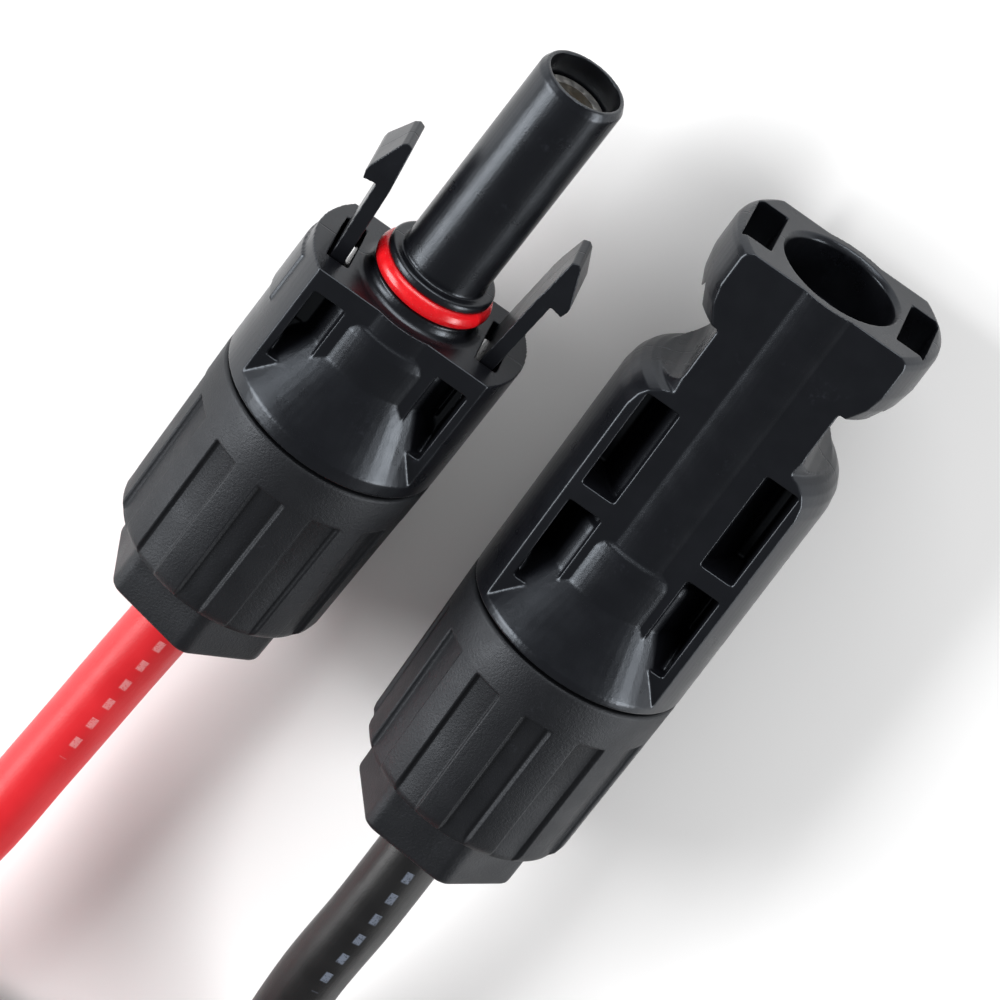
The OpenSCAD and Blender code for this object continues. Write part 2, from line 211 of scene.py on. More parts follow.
class Graph:
    """Adds nodes to a tree and links them, so that a graph reads from top to bottom."""

    def __init__(self, tree):
        self.tree = tree

    def add(self, kind, inputs=None, **settings):
        node = self.tree.nodes.new(kind)
        for name, value in settings.items():
            setattr(node, name, value)
        for key, value in (inputs or {}).items():
            if isinstance(value, bpy.types.NodeSocket):
                self.tree.links.new(value, node.inputs[key])
            else:
                node.inputs[key].default_value = value
        return node

    def math(self, operation, *values):
        node = self.add("ShaderNodeMath", dict(enumerate(values)), operation=operation)
        return node.outputs[0]

    def vector(self, operation, *values):
        node = self.add("ShaderNodeVectorMath", dict(enumerate(values)), operation=operation)
        return node.outputs[0]

    def ramp(self, value, low, high, to_low=0.0, to_high=1.0):
        """Smooth step from to_low at low to to_high at high."""
        node = self.add("ShaderNodeMapRange", {
            "Value": value, "From Min": low, "From Max": high, "To Min": to_low, "To Max": to_high,
        }, interpolation_type="SMOOTHSTEP")
        return node.outputs[0]

    def noise(self, coordinates, size, detail=2.0, roughness=0.5):
        """Noise whose features are about size metres across."""
        node = self.add("ShaderNodeTexNoise", {
            "Vector": coordinates, "Scale": 1 / size, "Detail": detail, "Roughness": roughness})
        return node.outputs["Fac"]

    def mix(self, factor, a, b):
        """Colour between a and b."""
        node = self.add("ShaderNodeMix", data_type="RGBA")
        for socket, value in zip((node.inputs[0], node.inputs[6], node.inputs[7]), (factor, a, b)):
            if isinstance(value, bpy.types.NodeSocket):
                self.tree.links.new(value, socket)
            else:
                socket.default_value = value
        return node.outputs[2]


def rgba(colour):
    """Colour with full alpha."""
    return (*colour, 1.0)


def scaled(colour, factor):
    """A lighter or darker version of a colour."""
    return tuple(min(1.0, c * factor) for c in colour)


class Finish(Graph):
    """A material under construction: a Principled BSDF, its bump, and Object coordinates."""

    def __init__(self, name, half=None):
        material = bpy.data.materials.new(name)
        material.use_nodes = True
        super().__init__(material.node_tree)
        self.material = material
        self.shader = material.node_tree.nodes["Principled BSDF"]
        self.place = self.add("ShaderNodeTexCoord").outputs["Object"]
        self.half = self.half_place(half) if half else None

    def half_place(self, half):
        """Object coordinates turned into a half's own up, across and back."""
        inverse = HALVES[half].inverted()
        node = self.add("ShaderNodeMapping", {
            "Vector": self.place,
            "Location": inverse.to_translation(),
            "Rotation": inverse.to_euler(),
        })
        return node.outputs[0]

    def set(self, **values):
        """Constants on the shader's own sockets."""
        for name, value in values.items():
            self.shader.inputs[name.replace("_", " ")].default_value = value

    def link(self, socket, name):
        self.tree.links.new(socket, self.shader.inputs[name])

    def bump(self, layers):
        """Stacks height fields: each layer is (height socket, depth in metres)."""
        normal = None
        for height, depth in layers:
            node = self.add("ShaderNodeBump", {"Height": height, "Distance": depth})
            if normal is not None:
                self.tree.links.new(normal, node.inputs["Normal"])
            normal = node.outputs["Normal"]
        self.link(normal, "Normal")


# ---------------------------------------------------------------- finishes


def scuffs(finish, size, amount):
    """Sparse pale rubbed patches, from 0 to amount."""
    broad = finish.noise(finish.place, size * 6, 3)
    fine = finish.noise(finish.place, size, 4, 0.7)
    patch = finish.ramp(broad, 0.56, 0.72)
    return finish.math("MULTIPLY", finish.math("MULTIPLY", patch, finish.ramp(fine, 0.5, 0.68)), amount)


def housing_finish(half):
    """Satin moulded polyamide with a fine skin and a parting line along the middle plane."""
    colour = colours().housing
    finish = Finish(f"housing_{half}", half)
    grain = finish.noise(finish.place, 0.16 * MM, 3, 0.6)
    waviness = finish.noise(finish.place, 2.2 * MM, 2)
    up = finish.add("ShaderNodeSeparateXYZ", {0: finish.half}).outputs[0]
    seam = finish.ramp(finish.math("ABSOLUTE", up), 0.03 * MM, 0.09 * MM, 1.0, 0.0)
    worn = scuffs(finish, 0.5 * MM, 0.3)
    tint = finish.mix(waviness, rgba(scaled(colour, 0.85)), rgba(scaled(colour, 1.2)))
    tint = finish.mix(worn, tint, rgba(scaled(colour, 5)))
    line = finish.math("MULTIPLY", seam, 0.6)
    finish.link(finish.mix(line, tint, rgba(scaled(colour, 0.25))), "Base Color")
    rough = finish.ramp(waviness, 0.3, 0.7, 0.27, 0.32)
    finish.link(finish.math("ADD", rough, finish.math("MULTIPLY", worn, 0.2)), "Roughness")
    finish.bump([(waviness, 0.012 * MM), (grain, 0.008 * MM), (seam, -0.04 * MM)])
    finish.set(IOR=1.53, Specular_IOR_Level=0.38, Specular_Tint=(0.82, 0.9, 1.0, 1.0))
    return finish.material


def nut_finish(half):
    """Matte polyamide with a spark-eroded grain and light scuffing."""
    colour = colours().nut
    finish = Finish(f"gland_nut_{half}", half)
    grain = finish.noise(finish.place, 0.22 * MM, 3, 0.65)
    fine = finish.noise(finish.place, 0.07 * MM, 2, 0.5)
    waviness = finish.noise(finish.place, 3 * MM, 2)
    worn = scuffs(finish, 0.35 * MM, 0.8)
    tint = finish.mix(grain, rgba(scaled(colour, 0.8)), rgba(scaled(colour, 1.3)))
    finish.link(finish.mix(worn, tint, rgba(scaled(colour, 4))), "Base Color")
    finish.link(finish.ramp(waviness, 0.3, 0.7, 0.46, 0.55), "Roughness")
    finish.bump([(waviness, 0.02 * MM), (grain, 0.035 * MM), (fine, 0.012 * MM)])
    finish.set(IOR=1.53, Specular_IOR_Level=0.32, Specular_Tint=(0.88, 0.93, 1.0, 1.0))
    return finish.material


def silicone_finish():
    """Glossy red silicone with faint flow streaks and dust."""
    colour = colours().ring
    finish = Finish("red_silicone")
    streak = finish.noise(finish.place, 0.9 * MM, 3)
    dust = finish.ramp(finish.noise(finish.place, 0.12 * MM, 2), 0.66, 0.76)
    tint = finish.mix(streak, rgba(scaled(colour, 0.8)), rgba(scaled(colour, 1.15)))
    finish.link(finish.mix(finish.math("MULTIPLY", dust, 0.25), tint, rgba((0.8, 0.35, 0.33))), "Base Color")
    finish.link(finish.ramp(streak, 0.3, 0.7, 0.2, 0.3), "Roughness")
    finish.bump([(streak, 0.01 * MM)])
    finish.set(IOR=1.43, Subsurface_Weight=0.15, Subsurface_Scale=0.4 * MM)
    return finish.material


def metal_finish(name, colour, roughness, half=None):
    """Turned and plated metal, with fine tool rings round the half's axis."""
    finish = Finish(name, half)
    mottle = finish.noise(finish.place, 0.7 * MM, 3)
    layers = [(finish.noise(finish.place, 0.08 * MM, 2), 0.004 * MM)]
    if half:
        rings = finish.add("ShaderNodeTexWave", {
            "Vector": finish.half, "Scale": 1 / (0.25 * MM) / 20, "Distortion": 0.6,
            "Detail": 2.0, "Detail Scale": 2.0,
        }, bands_direction="Z", wave_type="BANDS")
        layers.append((rings.outputs["Fac"], 0.006 * MM))
    finish.link(finish.mix(mottle, rgba(scaled(colour, 0.88)), rgba(colour)), "Base Color")
    finish.link(finish.ramp(mottle, 0.3, 0.7, roughness - 0.06, roughness + 0.08), "Roughness")
    finish.bump(layers)
    finish.set(Metallic=1.0)
    return finish.material


def soft_finish(name, colour, roughness, grain_depth):
    """Matte rubber or plastic of the inner pieces."""
    finish = Finish(name)
    grain = finish.noise(finish.place, 0.2 * MM, 3, 0.6)
    cloud = finish.noise(finish.place, 1.6 * MM, 2)
    finish.link(finish.mix(cloud, rgba(scaled(colour, 0.8)), rgba(scaled(colour, 1.2))), "Base Color")
    finish.link(finish.ramp(grain, 0.3, 0.7, roughness - 0.05, roughness + 0.05), "Roughness")
    finish.bump([(grain, grain_depth)])
    return finish.material


def sheath_finish(name, colour, mark):
    """Extruded sheath: fine lengthwise draw lines, soft waviness and plain printed dashes."""
    finish = Finish(name)
    uv = finish.add("ShaderNodeUVMap", uv_map="along").outputs[0]
    around, along, _ = finish.add("ShaderNodeSeparateXYZ", {0: uv}).outputs
    draw = finish.noise(finish.vector("MULTIPLY", uv, (0.05, 0.002, 1.0)), 1 * MM, 2)
    grain = finish.noise(finish.place, 0.18 * MM, 3, 0.6)
    cloud = finish.noise(finish.place, 4 * MM, 2)
    dash = finish.math("FRACT", finish.math("DIVIDE", along, 2.4 * MM))
    gap = finish.math("FRACT", finish.math("DIVIDE", along, 38 * MM))
    offset = finish.math("ABSOLUTE", finish.math("SUBTRACT", around, mark[0]))
    printed = finish.math("MULTIPLY", finish.ramp(dash, 0.42, 0.50, 1.0, 0.0),
                          finish.ramp(offset, 0.014, 0.022, 1.0, 0.0))
    printed = finish.math("MULTIPLY", printed, finish.ramp(gap, 0.5, 0.51, 1.0, 0.0))
    printed = finish.math("MULTIPLY", printed, finish.ramp(grain, 0.35, 0.5, 0.15, 0.42))
    tint = finish.mix(cloud, rgba(scaled(colour, 0.85)), rgba(scaled(colour, 1.15)))
    finish.link(finish.mix(printed, tint, rgba(mark[1])), "Base Color")
    finish.link(finish.ramp(cloud, 0.3, 0.7, 0.34, 0.44), "Roughness")
    finish.bump([(cloud, 0.05 * MM), (draw, 0.01 * MM), (grain, 0.012 * MM)])
    finish.set(IOR=1.49)
    return finish.material


def floor_finish():
    """Plain pale studio surface."""
    finish = Finish("pale_floor")
    cloud = finish.noise(finish.place, 60 * MM, 2)
    finish.link(finish.mix(cloud, rgba((0.93, 0.93, 0.93)), rgba((0.95, 0.95, 0.95))), "Base Color")
    finish.set(Roughness=0.7)
    return finish.material


# Share of a turn round the sheath at which its dashes are printed
PRINT_SIDE = 0.3
FINISHES = {}


def finish_named(name):
    """Makes each finish once."""
    makers = {
        "housing_pin": lambda: housing_finish("pin"),
        "housing_socket": lambda: housing_finish("socket"),
        "nut_pin": lambda: nut_finish("pin"),
        "nut_socket": lambda: nut_finish("socket"),
        "silicone": silicone_finish,
        "tin_pin": lambda: metal_finish("tinned_pin", colours().tin, 0.24, "pin"),
        "tin_socket": lambda: metal_finish("tinned_socket", colours().tin, 0.36, "socket"),
        "strands": lambda: metal_finish("tinned_strands", colours().tin, 0.3),
        "spring": lambda: metal_finish("spring_steel", (0.6, 0.59, 0.56), 0.3),
        "alloy": lambda: metal_finish("contact_alloy", (0.75, 0.56, 0.27), 0.26),
        "seal": lambda: soft_finish("seal_rubber", (0.045, 0.045, 0.048), 0.7, 0.02 * MM),
        "cage": lambda: soft_finish("cage_plastic", (0.02, 0.02, 0.022), 0.5, 0.01 * MM),
        "insulation": lambda: soft_finish("insulation", (0.75, 0.73, 0.67), 0.5, 0.01 * MM),
        "tie": lambda: soft_finish("tie_nylon", (0.02, 0.02, 0.022), 0.42, 0.008 * MM),
        "red_sheath": lambda: sheath_finish(
            "red_sheath", colours().red_sheath, (PRINT_SIDE, (0.75, 0.45, 0.45))),
        "black_sheath": lambda: sheath_finish(
            "black_sheath", colours().black_sheath, (PRINT_SIDE, (0.3, 0.35, 0.45))),
        "floor": floor_finish,
    }
    if name not in FINISHES:
        FINISHES[name] = makers[name]()
    return FINISHES[name]


# ---------------------------------------------------------------- mesh helpers


def add_piece(name, mesh, body, finish, slot, *replaced):
    """Links a finished mesh as a piece that rides on a body and may stand for CAD nodes."""
    piece = bpy.data.objects.new(name, mesh)
    bpy.context.scene.collection.objects.link(piece)
    mesh.materials.clear()
    mesh.materials.append(finish_named(finish))
    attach(piece, body)
    if replaced:
        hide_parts(*replaced)
    return piece


def aimed(place, direction):
    """Matrix at a place, with its Z axis along a direction."""
    return Matrix.Translation(place) @ direction.to_track_quat("Z", "Y").to_matrix().to_4x4()


def evaluated_mesh(source):
    """The object's mesh with its modifiers applied; the object itself is removed."""
    graph = bpy.context.evaluated_depsgraph_get()
    mesh = bpy.data.meshes.new_from_object(source.evaluated_get(graph))
    data = source.data
    bpy.data.objects.remove(source)
    if isinstance(data, bpy.types.Curve):
        bpy.data.curves.remove(data)
    return mesh


def merged_copy(node, matrix):
    """A copy of a CAD node's mesh in the coordinates of matrix, with its loose triangles joined."""
    mesh = FRAME["nodes"][node].data.copy()
    mesh.transform(matrix.inverted())
    shape = bmesh.new()
    shape.from_mesh(mesh)
    bmesh.ops.remove_doubles(shape, verts=shape.verts, dist=0.002 * MM)
    shape.to_mesh(mesh)
    shape.free()
    return mesh


def moulded(node, half, voxel, most_triangles):
    """Rounds every edge of a CAD node as a moulding's are, by remeshing and relaxing it."""
    matrix = HALVES[half]
    mesh = merged_copy(node, matrix)
    source = bpy.data.objects.new(f"{node}_source", mesh)
    bpy.context.scene.collection.objects.link(source)
    step = voxel
    remesh = source.modifiers.new("remesh", "REMESH")
    remesh.mode = "VOXEL"
    remesh.voxel_size = step
    smooth = source.modifiers.new("smooth", "SMOOTH")
    smooth.factor = 0.5
    smooth.iterations = SMOOTHING
    rounded = evaluated_mesh(source)
    triangles = 2 * len(rounded.polygons)
    if triangles > most_triangles:
        source = bpy.data.objects.new(f"{node}_source", rounded)
        bpy.context.scene.collection.objects.link(source)
        thin = source.modifiers.new("thin", "DECIMATE")
        thin.ratio = most_triangles / triangles
        rounded = evaluated_mesh(source)
    rounded.transform(matrix)
    rounded.shade_smooth()
    return rounded


# ---------------------------------------------------------------- gland nut


def nut_profile(name):
    """Closed section of a gland nut as [radius, back] points; a point's curve radius rounds its corner."""
    corners = [
        (7.9, 0.5, 0.1), (8.2, 0.0, 0.1), (9.5, 0.0, 0.35), (9.44, 3.5, 0), (9.44, 3.62, 0), (9.435, 3.74, 0),
        (9.43, 3.86, 0), (9.43, 4.0, 0), (9.3, 11, 0), (9.2, 17.0, 1.7), (7.5, 17.0, 0.35), (7.45, 19, 0),
        (7.4, 21.7, 0.55), (3.1, 21.7, 0.35), (3.1, 16.2, 0.1), (4.0, 16.2, 0.1), (7.09, 10.8, 0.1),
        (7.9, 10.8, 0.1), (7.9, 6, 0),
    ]
    data = bpy.data.curves.new(name, "CURVE")
    data.dimensions = "3D"
    spline = data.splines.new("POLY")
    spline.points.add(len(corners) - 1)
    spline.use_cyclic_u = True
    for point, (radius, back, rounding) in zip(spline.points, corners):
        point.co = (radius * MM, 0, back * MM, 1)
        point.radius = rounding * MM
    profile = bpy.data.objects.new(name, data)
    bpy.context.scene.collection.objects.link(profile)
    return profile


def new_node_group(name, sockets):
    """Geometry node group with a Geometry input and output, and one named input for each size."""
    tree = bpy.data.node_groups.new(name, "GeometryNodeTree")
    tree.interface.new_socket("Geometry", in_out="INPUT", socket_type="NodeSocketGeometry")
    for label, kind in sockets:
        tree.interface.new_socket(label, in_out="INPUT", socket_type=f"NodeSocket{kind}")
    tree.interface.new_socket("Geometry", in_out="OUTPUT", socket_type="NodeSocketGeometry")
    graph = Graph(tree)
    return graph, graph.add("NodeGroupInput").outputs


def close_group(graph, geometry, material):
    """Ends a tree in Realize Instances and Set Material."""
    real = graph.add("GeometryNodeRealizeInstances", {"Geometry": geometry}).outputs[0]
    painted = graph.add("GeometryNodeSetMaterial", {"Geometry": real, "Material": material}).outputs[0]
    graph.add("NodeGroupOutput", {"Geometry": painted})
    return graph.tree


def apply_group(source, tree, values):
    """Runs a node group on an object, with its inputs set by identifier, and returns the mesh."""
    modifier = source.modifiers.new("nodes", "NODES")
    modifier.node_group = tree
    for item in tree.interface.items_tree:
        if item.in_out == "INPUT" and item.name in values:
            modifier[item.identifier] = values[item.name]
    return evaluated_mesh(source)


def nut_tree():
    """Turns a nut's section round its axis, cuts the grip grooves and flattens the hexagon."""
    graph, given = new_node_group("fluted_gland_nut", [
        ("Segments", "Int"), ("Grooves", "Int"), ("Groove Depth", "Float"), ("Groove Half Angle", "Float"),
        ("Groove Start", "Float"), ("Hexagon Start", "Float"), ("Hexagon Apothem", "Float"),
        ("Hexagon Corner", "Float"), ("Turn", "Float"), ("Material", "Material")])
    rounding = graph.add("GeometryNodeInputRadius").outputs[0]
    section = graph.add("GeometryNodeFilletCurve", {
        "Curve": given["Geometry"], "Count": 4, "Radius": rounding,
        "Limit Radius": True}, mode="POLY").outputs[0]
    points = graph.add("GeometryNodeAttributeDomainSize", {
        "Geometry": section}, component="CURVE").outputs["Point Count"]
    rows = graph.math("ADD", points, 1)
    columns = graph.math("ADD", given["Segments"], 1)
    grid = graph.add("GeometryNodeMeshGrid", {
        "Size X": 1, "Size Y": 1, "Vertices X": columns, "Vertices Y": rows})
    spot = graph.add("GeometryNodeInputPosition").outputs[0]
    x, y, _ = graph.add("ShaderNodeSeparateXYZ", {0: spot}).outputs
    angle = graph.math("MULTIPLY", graph.math("ADD", x, 0.5), math.tau)
    row = graph.math("ROUND", graph.math("MULTIPLY", graph.math("ADD", y, 0.5), points))
    index = graph.math("FLOORED_MODULO", row, points)
    sampled = graph.add("GeometryNodeSampleIndex", {
        "Geometry": section, "Value": spot, "Index": index}, data_type="FLOAT_VECTOR", domain="POINT")
    radius, _, back = graph.add("ShaderNodeSeparateXYZ", {0: sampled.outputs[0]}).outputs

    # Grip grooves: the surface drops to a floor that follows the nut's taper
    pitch = graph.math("DIVIDE", math.tau, given["Grooves"])
    share = graph.math("FRACT", graph.math("ADD", graph.math("DIVIDE", angle, pitch), 0.5))
    off_centre = graph.math("MULTIPLY", graph.math("ABSOLUTE", graph.math("SUBTRACT", share, 0.5)), pitch)
    soft = math.radians(0.7)
    wide = graph.add("ShaderNodeMapRange", {
        "Value": off_centre, "From Min": graph.math("SUBTRACT", given["Groove Half Angle"], soft),
        "From Max": graph.math("ADD", given["Groove Half Angle"], soft), "To Min": 1.0, "To Max": 0.0},
        interpolation_type="SMOOTHSTEP").outputs[0]
    deep = graph.add("ShaderNodeMapRange", {
        "Value": back, "From Min": graph.math("SUBTRACT", given["Groove Start"], 0.12 * MM),
        "From Max": graph.math("ADD", given["Groove Start"], 0.12 * MM)},
        interpolation_type="SMOOTHSTEP").outputs[0]
    taper = graph.math("SUBTRACT", NUT_FRONT_RADIUS, graph.math("MULTIPLY", back, NUT_TAPER))
    floor = graph.math("SUBTRACT", taper, given["Groove Depth"])
    above = graph.math("MAXIMUM", graph.math("SUBTRACT", radius, floor), 0.0)
    outside = graph.math("GREATER_THAN", radius, 8.3 * MM)
    cut = graph.math("MULTIPLY", graph.math("MULTIPLY", above, wide), graph.math("MULTIPLY", deep, outside))
    fluted = graph.math("SUBTRACT", radius, cut)

    # Hexagon: behind the barrel the outer surface follows a rounded six-sided outline
    sixth = math.tau / 6
    corner_angle = graph.math("FLOORED_MODULO", graph.math("ADD", angle, sixth / 4), sixth)
    side = graph.math("DIVIDE", given["Hexagon Apothem"],
                      graph.math("COSINE", graph.math("SUBTRACT", corner_angle, sixth / 2)))
    outline = graph.math("SMOOTH_MIN", side, given["Hexagon Corner"], 0.25 * MM)
    shrink = graph.math("DIVIDE", outline, given["Hexagon Corner"])
    on_hexagon = graph.math("MULTIPLY", graph.math("GREATER_THAN", back, given["Hexagon Start"]),
                            graph.ramp(radius, 5.0 * MM, 7.0 * MM))
    factor = graph.math("ADD", 1.0, graph.math("MULTIPLY", on_hexagon, graph.math("SUBTRACT", shrink, 1.0)))
    final = graph.math("MULTIPLY", fluted, factor)

    turned = graph.math("ADD", angle, given["Turn"])
    placed = graph.add("ShaderNodeCombineXYZ", {
        "X": graph.math("MULTIPLY", final, graph.math("COSINE", turned)),
        "Y": graph.math("MULTIPLY", final, graph.math("SINE", turned)),
        "Z": back}).outputs[0]
    shaped = graph.add("GeometryNodeSetPosition", {
        "Geometry": grid.outputs["Mesh"], "Position": placed}).outputs[0]
    closed = graph.add("GeometryNodeMergeByDistance", {"Geometry": shaped, "Distance": 0.001 * MM}).outputs[0]
    smooth = graph.add("GeometryNodeSetShadeSmooth", {"Geometry": closed}).outputs[0]
    return close_group(graph, smooth, given["Material"])


def outward(mesh):
    """Turns a closed mesh's faces to point outwards."""
    shape = bmesh.new()
    shape.from_mesh(mesh)
    bmesh.ops.recalc_face_normals(shape, faces=shape.faces)
    shape.to_mesh(mesh)
    shape.free()
    return mesh


def thread_tree():
    """A rounded ridge that winds round a spigot."""
    graph, given = new_node_group("thread_ridge", [
        ("Turns", "Float"), ("Radius", "Float"), ("Height", "Float"), ("Ridge", "Float"),
        ("Material", "Material")])
    helix = graph.add("GeometryNodeCurveSpiral", {
        "Resolution": 64, "Rotations": given["Turns"], "Start Radius": given["Radius"],
        "End Radius": given["Radius"], "Height": given["Height"]}).outputs[0]
    section = graph.add("GeometryNodeCurvePrimitiveCircle", {"Resolution": 10, "Radius": given["Ridge"]})
    ridge = graph.add("GeometryNodeCurveToMesh", {
        "Curve": helix, "Profile Curve": section.outputs[0], "Fill Caps": True}).outputs[0]
    return close_group(graph, ridge, given["Material"])


# ---------------------------------------------------------------- leads


PIN_ROUTE = [(-29, -13, 9.5), (-40, -12.9, 9.2), (-50, -12.6, 8), (-60, -13.4, 5.6),
             (-70, -16.2, 3.4), (-82, -22.3, 2.8), (-95, -28.5, 2.75), (-106.5, -30.5, 2.75)]
SOCKET_ROUTE = [(-25, 13, 8.9), (-36, 13.9, 8.2), (-47, 14.8, 7.8), (-58, 15.9, 7.9),
                (-70, 19, 8.5), (-82, 25, 9.2), (-95, 32, 9.55), (-106.5, 34.5, 9.55)]
LEADS = {"pin": (PIN_ROUTE, -1), "socket": (SOCKET_ROUTE, 1)}
COIL_TURN = math.radians(410)
OUTER_TURN = math.radians(192)
END_RADIUS = 23 * MM
BARE_LENGTH = 7.5 * MM
POINTS_PER_TURN = 48


def between(a, b, c, d, t):
    """Point at t = 0 to 1 between b and c on a smooth curve through a, b, c and d."""
    return 0.5 * (2 * b + (c - a) * t + (2 * a - 5 * b + 4 * c - d) * t**2 + (3 * b - a - 3 * c + d) * t**3)


def free_run(half, beyond, steps=8):
    """The stretch from the gland to the coil: straight out of the gland, then through the route's points."""
    stops = [Vector(p) * MM for p in LEADS[half][0]]
    back = HALVES[half].col[2].to_3d()
    stops = [stops[0] - back * (stops[1] - stops[0]).length] + stops + [beyond]
    points = []
    for i in range(1, len(stops) - 2):
        points += [between(*stops[i - 1:i + 3], k / steps) for k in range(steps)]
    return points + [stops[-2]]


def coil_radius_at(turn):
    """Radius of a coil after that much turn: even at first, then easing into a steady inward run."""
    ease, steady = math.tau - OUTER_TURN, COIL_TURN - math.tau
    slope = (sizes().coil_radius - END_RADIUS) / (ease / 2 + steady)
    past = max(turn - OUTER_TURN, 0)
    return sizes().coil_radius - slope * (past * past / (2 * ease) if past < ease else past - ease / 2)


def coil_centre(half):
    """Centre of a lead's coil, at the height of its cable."""
    route, side = LEADS[half]
    return Vector(route[-1]) * MM - Vector((0, side * sizes().coil_radius, 0))


def coil_point(half, turn):
    """Middle of the cable after that much turn."""
    angle = LEADS[half][1] * (math.pi / 2 + turn)
    return coil_centre(half) + coil_radius_at(turn) * Vector((math.cos(angle), math.sin(angle), 0))


def lead_points(half):
    """The whole lead, from the gland nut to its cut end."""
    count = round(COIL_TURN / math.tau * POINTS_PER_TURN)
    coil = [coil_point(half, COIL_TURN * i / count) for i in range(1, count + 1)]
    return free_run(half, coil[2]) + coil


def swept_tube(name, points, radius, sides=32):
    """Closed round tube along the points, with a UV map 'along': turns round it and metres along it."""
    shape = bmesh.new()
    layer = shape.loops.layers.uv.new("along")
    rings, travelled = [], [0.0]
    for i, point in enumerate(points):
        ahead = (points[min(i + 1, len(points) - 1)] - points[max(i - 1, 0)]).normalized()
        across = ahead.cross(Vector((0, 0, 1))).normalized()
        up = across.cross(ahead)
        if i:
            travelled.append(travelled[-1] + (point - points[i - 1]).length)
        rings.append([shape.verts.new(point + radius * (math.cos(a) * across + math.sin(a) * up))
                      for a in (math.tau * k / sides for k in range(sides))])
    for i in range(len(rings) - 1):
        for k in range(sides):
            follow = (k + 1) % sides
            face = shape.faces.new((rings[i][k], rings[i][follow], rings[i + 1][follow], rings[i + 1][k]))
            for loop, (u, v) in zip(face.loops, ((k, i), (k + 1, i), (k + 1, i + 1), (k, i + 1))):
                loop[layer].uv = (u / sides, travelled[v])
    shape.faces.new(list(reversed(rings[0])))
    shape.faces.new(rings[-1])
    bmesh.ops.recalc_face_normals(shape, faces=shape.faces)
    mesh = bpy.data.meshes.new(name)
    shape.to_mesh(mesh)
    shape.free()
    mesh.shade_smooth()
    for cap in mesh.polygons[-2:]:
        cap.use_smooth = False
    return mesh


def strand_tree():
    """A bundle of twisted strands laid out like a sunflower's seeds."""
    graph, given = new_node_group("twisted_strands", [
        ("Strands", "Int"), ("Bundle Radius", "Float"), ("Strand Radius", "Float"), ("Twist", "Float"),
        ("Material", "Material")])
    even = graph.add("GeometryNodeResampleCurve", {"Curve": given["Geometry"], "Count": 14}).outputs[0]
    many = graph.add("GeometryNodeDuplicateElements", {
        "Geometry": even, "Amount": given["Strands"]}, domain="SPLINE")
    index = many.outputs["Duplicate Index"]
    spot = graph.add("GeometryNodeInputPosition").outputs[0]
    height = graph.add("ShaderNodeSeparateXYZ", {0: spot}).outputs[2]
    share = graph.math("DIVIDE", graph.math("ADD", index, 0.5), given["Strands"])
    reach = graph.math("MULTIPLY", graph.math("SQRT", share),
                       graph.math("SUBTRACT", given["Bundle Radius"], given["Strand Radius"]))
    golden = math.pi * (3 - math.sqrt(5))
    angle = graph.math("ADD", graph.math("MULTIPLY", index, golden),
                       graph.math("MULTIPLY", height, given["Twist"]))
    placed = graph.add("ShaderNodeCombineXYZ", {
        "X": graph.math("MULTIPLY", reach, graph.math("COSINE", angle)),
        "Y": graph.math("MULTIPLY", reach, graph.math("SINE", angle)),
        "Z": height}).outputs[0]
    laid = graph.add("GeometryNodeSetPosition", {
        "Geometry": many.outputs["Geometry"], "Position": placed}).outputs[0]
    round_wire = graph.add("GeometryNodeCurvePrimitiveCircle", {
        "Resolution": 10, "Radius": given["Strand Radius"]})
    wires = graph.add("GeometryNodeCurveToMesh", {
        "Curve": laid, "Profile Curve": round_wire.outputs[0], "Fill Caps": True}).outputs[0]
    return close_group(graph, wires, given["Material"])


def straight_line(name, length):
    """A straight curve object along Z."""
    data = bpy.data.curves.new(name, "CURVE")
    data.dimensions = "3D"
    spline = data.splines.new("POLY")
    spline.points.add(1)
    spline.points[1].co = (0, 0, length, 1)
    line = bpy.data.objects.new(name, data)
    bpy.context.scene.collection.objects.link(line)
    return line


TIE_TURN = math.radians(40)
STRAP_WIDTH = 2.5 * MM
STRAP_THICKNESS = 0.55 * MM
ARC_STEPS = 12
# Block of a tie: distance inside the inner strand, size, bevel and bevel steps
TIE_HEAD = (1.9 * MM, (2.9 * MM, 4.4 * MM, 4.2 * MM), 0.5 * MM, 3)
TIE_TAIL = (4.2 * MM, (2.2 * MM, 2.3 * MM, 0.9 * MM), 0.2 * MM, 2)


def add_block(shape, edge, block):
    """Adds a bevelled block to a tie, inside the coil's inner edge."""
    inset, size, bevel, steps = block
    place = Matrix.Translation((edge - inset, 0, 0)) @ Matrix.Diagonal((*size, 1))
    cube = bmesh.ops.create_cube(shape, size=1.0, matrix=place)
    edges = list({e for v in cube["verts"] for e in v.link_edges})
    bmesh.ops.bevel(shape, geom=edges, offset=bevel, segments=steps, affect="EDGES", profile=0.6)


